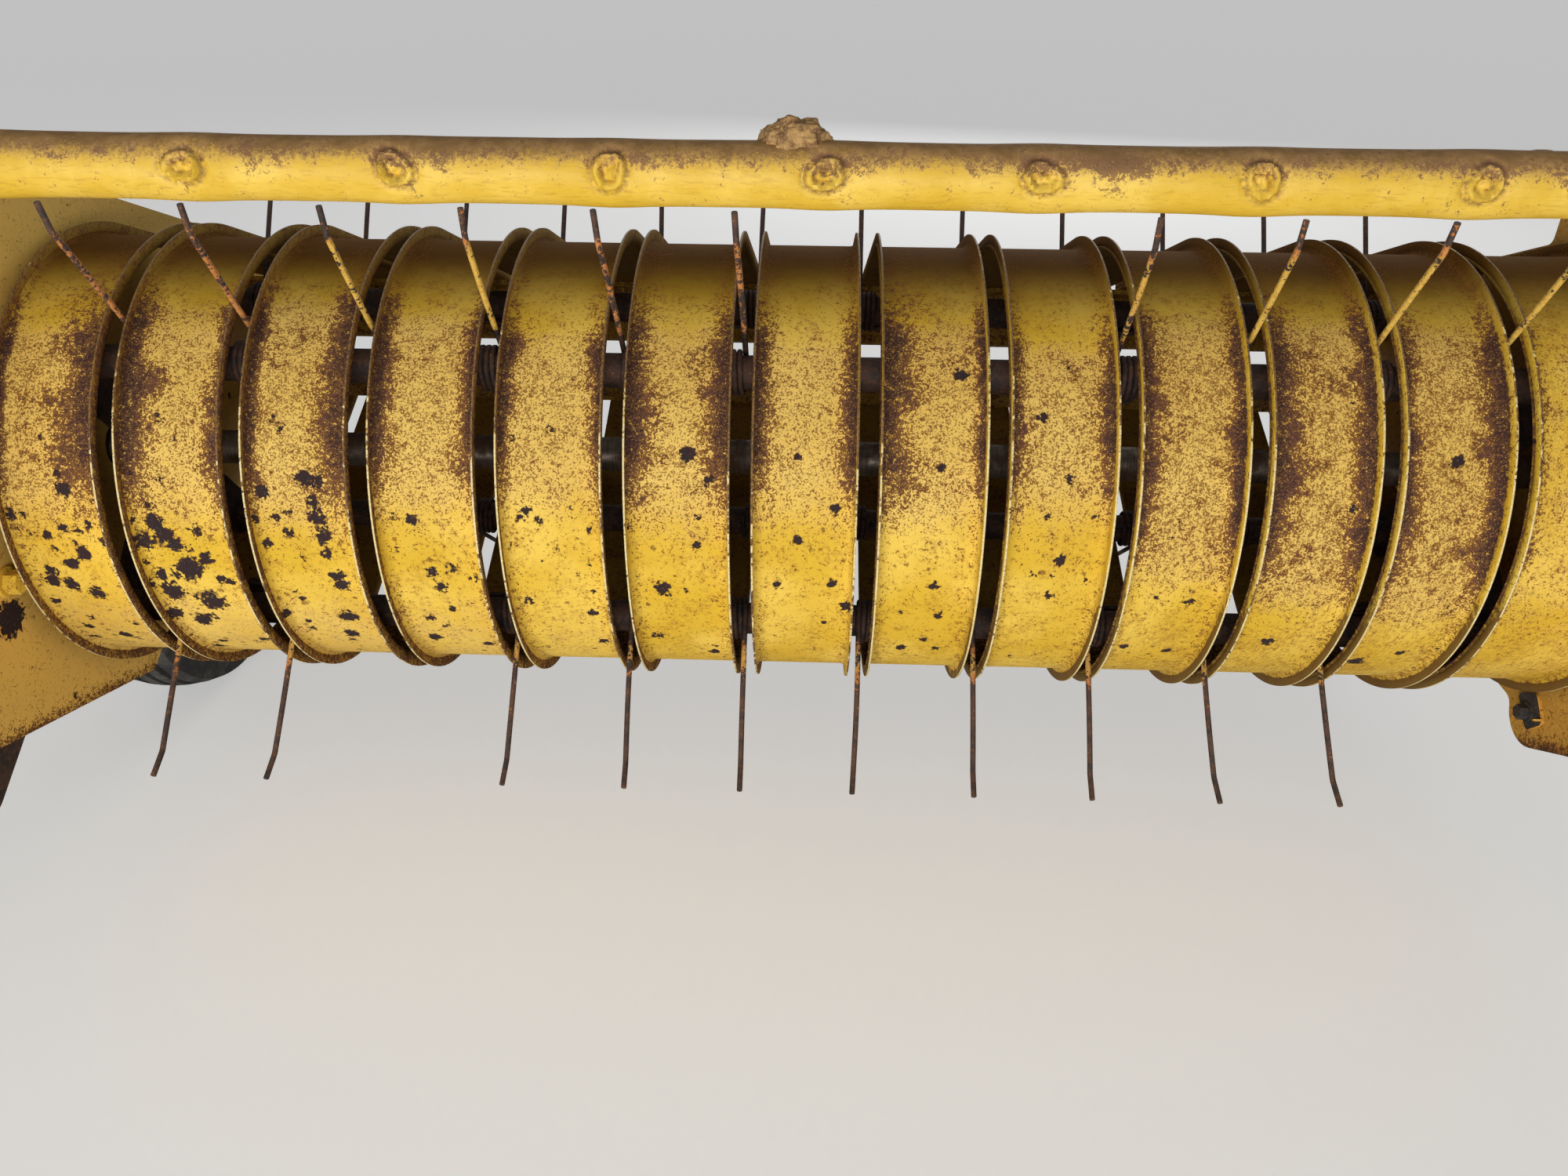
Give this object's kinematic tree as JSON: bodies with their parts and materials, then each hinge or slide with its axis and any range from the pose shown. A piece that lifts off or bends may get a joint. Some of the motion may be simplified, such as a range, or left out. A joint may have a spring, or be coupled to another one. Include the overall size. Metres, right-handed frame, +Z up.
{
  "type": "small square baler pickup head",
  "caption": "Pickup head of a small square baler: flanged stripper bands round a spring-tine reel, with a windguard tube on long arms, end sheets and a gauge wheel.",
  "frame": {"origin": "middle of the lift pivot, on the axis of the rear pivot tube", "axes": "+X to the right as seen from the front and along the pivot tube, +Y to the rear, +Z up"},
  "size_m": [1.5826, 0.8492, 0.701],
  "materials": {
    "worn_yellow_paint": "weathered yellow paint with rust and chips",
    "yellow_frame_paint": "weathered yellow paint",
    "rusty_spring_steel": "rusty spring steel with patches of old paint",
    "rusty_plate": "rusted and grimy steel plate",
    "shaft_steel": "bright steel, browned with age",
    "cast_housing": "rough cast housing",
    "tyre_rubber": "dusty ribbed rubber"
  },
  "bodies": {
    "head_frame": {"stripper_01": "worn_yellow_paint", "stripper_02": "worn_yellow_paint", "stripper_03": "worn_yellow_paint", "stripper_04": "worn_yellow_paint", "stripper_05": "worn_yellow_paint", "stripper_06": "worn_yellow_paint", "stripper_07": "worn_yellow_paint", "stripper_08": "worn_yellow_paint", "stripper_09": "worn_yellow_paint", "stripper_10": "worn_yellow_paint", "stripper_11": "worn_yellow_paint", "stripper_12": "worn_yellow_paint", "stripper_13": "worn_yellow_paint", "left_end_sheet": "worn_yellow_paint", "right_end_sheet": "worn_yellow_paint", "upper_cross_angle": "yellow_frame_paint", "lower_cross_angle": "yellow_frame_paint", "pivot_tube": "yellow_frame_paint", "lift_lug": "yellow_frame_paint", "left_bearing": "cast_housing", "right_bearing": "cast_housing", "nose_shoe": "rusty_plate", "gauge_wheel_arm": "yellow_frame_paint"},
    "reel": {"reel_shaft": "shaft_steel", "reel_spider_left": "rusty_plate", "reel_spider_middle": "rusty_plate", "reel_spider_right": "rusty_plate", "tine_bar_1": "rusty_spring_steel", "tine_bar_2": "rusty_spring_steel", "tine_bar_3": "rusty_spring_steel", "tine_bar_4": "rusty_spring_steel", "drive_sprocket": "shaft_steel"},
    "windguard": {"guard_tube": "yellow_frame_paint", "guard_arm_left": "yellow_frame_paint", "guard_arm_right": "yellow_frame_paint"},
    "gauge_wheel": {"gauge_tyre": "tyre_rubber", "gauge_rim": "yellow_frame_paint"}
  },
  "joints": [
    {"name": "reel_spin", "type": "hinge", "parent": "head_frame", "child": "reel", "pos_m": [0, -0.4, -0.005], "axis": [-1, 0, 0], "continuous": true},
    {"name": "windguard_lift", "type": "hinge", "parent": "head_frame", "child": "windguard", "pos_m": [0, -0.14, 0.081], "axis": [-1, 0, 0], "range_deg": [0, 40]},
    {"name": "gauge_wheel_spin", "type": "hinge", "parent": "head_frame", "child": "gauge_wheel", "pos_m": [-0.7406, -0.205, -0.182], "axis": [1, 0, 0], "continuous": true}
  ]
}
